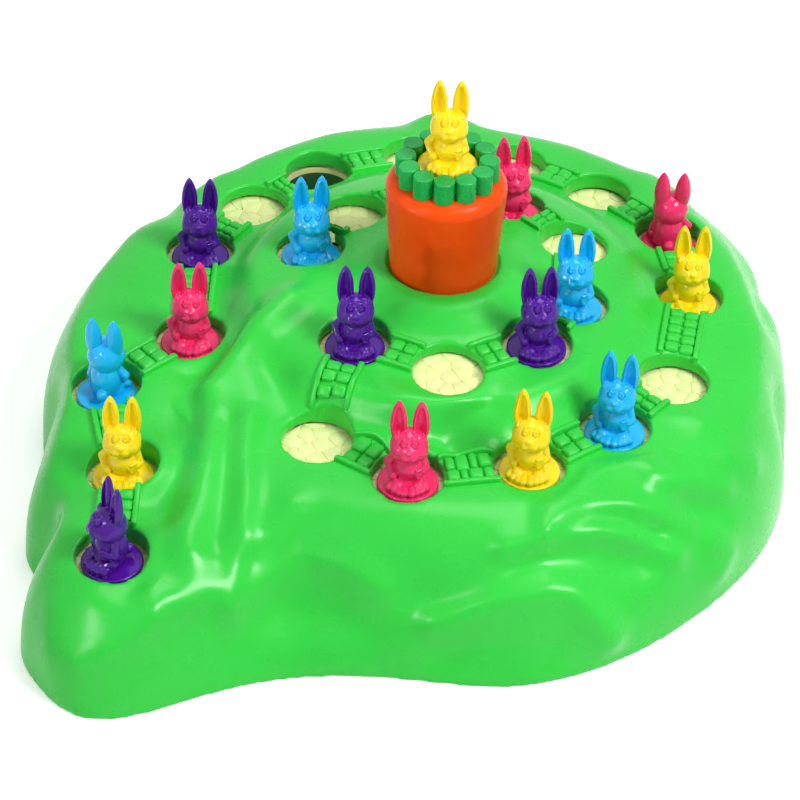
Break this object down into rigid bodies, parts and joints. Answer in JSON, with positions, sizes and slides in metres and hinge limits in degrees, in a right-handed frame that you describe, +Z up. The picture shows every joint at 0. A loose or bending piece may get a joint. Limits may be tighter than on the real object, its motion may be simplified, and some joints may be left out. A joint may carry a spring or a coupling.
{
  "type": "board game",
  "caption": "Moulded green hill board game with a spiral of wells, a carrot knob that turns a hidden track with traps, and rabbit pieces that lift out.",
  "frame": {"origin": "on the carrot's axis, in the plane that the hill's rim stands on", "axes": "+Z up along the carrot's axis, -Y towards the front with the spur at the left, +X to the right"},
  "size_m": [0.304, 0.334, 0.1644],
  "materials": {
    "hill_green": "smooth moulded gloss",
    "floor_cream": "moulded, cobble relief",
    "carrot_orange": "satin gloss",
    "leaf_green": "satin gloss",
    "white_plastic": "natural",
    "steel": "zinc plated",
    "rabbit_purple": "glossy",
    "rabbit_blue": "glossy",
    "rabbit_yellow": "glossy",
    "rabbit_pink": "glossy"
  },
  "bodies": {
    "hill": {"hill_shell": "hill_green", "start_floor_1": "floor_cream", "start_floor_2": "floor_cream", "start_floor_3": "floor_cream", "pivot_screw": "steel", "pawl_spring": "steel"},
    "turntable": {"lower_track": "floor_cream", "track_riser": "floor_cream", "upper_track": "floor_cream", "carrot_body": "carrot_orange", "leaf_crown": "leaf_green", "ratchet_wheel": "white_plastic", "axle_washer": "steel", "axle_screw": "steel"},
    "pawl": {"click_pawl": "white_plastic"},
    "purple_rabbit_1": {"purple_rabbit_1": "rabbit_purple"},
    "purple_rabbit_2": {"purple_rabbit_2": "rabbit_purple"},
    "purple_rabbit_3": {"purple_rabbit_3": "rabbit_purple"},
    "purple_rabbit_4": {"purple_rabbit_4": "rabbit_purple"},
    "blue_rabbit_1": {"blue_rabbit_1": "rabbit_blue"},
    "blue_rabbit_2": {"blue_rabbit_2": "rabbit_blue"},
    "blue_rabbit_3": {"blue_rabbit_3": "rabbit_blue"},
    "blue_rabbit_4": {"blue_rabbit_4": "rabbit_blue"},
    "yellow_rabbit_1": {"yellow_rabbit_1": "rabbit_yellow"},
    "yellow_rabbit_2": {"yellow_rabbit_2": "rabbit_yellow"},
    "yellow_rabbit_3": {"yellow_rabbit_3": "rabbit_yellow"},
    "yellow_rabbit_4": {"yellow_rabbit_4": "rabbit_yellow"},
    "pink_rabbit_1": {"pink_rabbit_1": "rabbit_pink"},
    "pink_rabbit_2": {"pink_rabbit_2": "rabbit_pink"},
    "pink_rabbit_3": {"pink_rabbit_3": "rabbit_pink"},
    "pink_rabbit_4": {"pink_rabbit_4": "rabbit_pink"}
  },
  "joints": [
    {"name": "carrot_turn", "type": "hinge", "parent": "hill", "child": "turntable", "pos_m": [0, 0, 0.078], "axis": [0, 0, 1], "continuous": true},
    {"name": "pawl_click", "type": "hinge", "parent": "hill", "child": "pawl", "pos_m": [-0.03062, 0.00687, 0.0694], "axis": [0, 0, -1], "range_deg": [0, 5], "stiffness_Nm_per_rad": 0.2, "deforming": ["pawl_spring"]},
    {"name": "purple_rabbit_1_lift", "type": "slide", "parent": "hill", "child": "purple_rabbit_1", "axis": [0, 0, 1], "range_m": [0, 0.06]},
    {"name": "purple_rabbit_2_lift", "type": "slide", "parent": "hill", "child": "purple_rabbit_2", "axis": [0, 0, 1], "range_m": [0, 0.06]},
    {"name": "purple_rabbit_3_lift", "type": "slide", "parent": "hill", "child": "purple_rabbit_3", "axis": [0, 0, 1], "range_m": [0, 0.06]},
    {"name": "purple_rabbit_4_lift", "type": "slide", "parent": "hill", "child": "purple_rabbit_4", "axis": [0, 0, 1], "range_m": [0, 0.06]},
    {"name": "blue_rabbit_1_lift", "type": "slide", "parent": "hill", "child": "blue_rabbit_1", "axis": [0, 0, 1], "range_m": [0, 0.06]},
    {"name": "blue_rabbit_2_lift", "type": "slide", "parent": "hill", "child": "blue_rabbit_2", "axis": [0, 0, 1], "range_m": [0, 0.06]},
    {"name": "blue_rabbit_3_lift", "type": "slide", "parent": "hill", "child": "blue_rabbit_3", "axis": [0, 0, 1], "range_m": [0, 0.06]},
    {"name": "blue_rabbit_4_lift", "type": "slide", "parent": "hill", "child": "blue_rabbit_4", "axis": [0, 0, 1], "range_m": [0, 0.06]},
    {"name": "yellow_rabbit_1_lift", "type": "slide", "parent": "turntable", "child": "yellow_rabbit_1", "axis": [0, 0, 1], "range_m": [0, 0.06]},
    {"name": "yellow_rabbit_2_lift", "type": "slide", "parent": "hill", "child": "yellow_rabbit_2", "axis": [0, 0, 1], "range_m": [0, 0.06]},
    {"name": "yellow_rabbit_3_lift", "type": "slide", "parent": "hill", "child": "yellow_rabbit_3", "axis": [0, 0, 1], "range_m": [0, 0.06]},
    {"name": "yellow_rabbit_4_lift", "type": "slide", "parent": "hill", "child": "yellow_rabbit_4", "axis": [0, 0, 1], "range_m": [0, 0.06]},
    {"name": "pink_rabbit_1_lift", "type": "slide", "parent": "hill", "child": "pink_rabbit_1", "axis": [0, 0, 1], "range_m": [0, 0.06]},
    {"name": "pink_rabbit_2_lift", "type": "slide", "parent": "hill", "child": "pink_rabbit_2", "axis": [0, 0, 1], "range_m": [0, 0.06]},
    {"name": "pink_rabbit_3_lift", "type": "slide", "parent": "hill", "child": "pink_rabbit_3", "axis": [0, 0, 1], "range_m": [0, 0.06]},
    {"name": "pink_rabbit_4_lift", "type": "slide", "parent": "hill", "child": "pink_rabbit_4", "axis": [0, 0, 1], "range_m": [0, 0.06]}
  ]
}
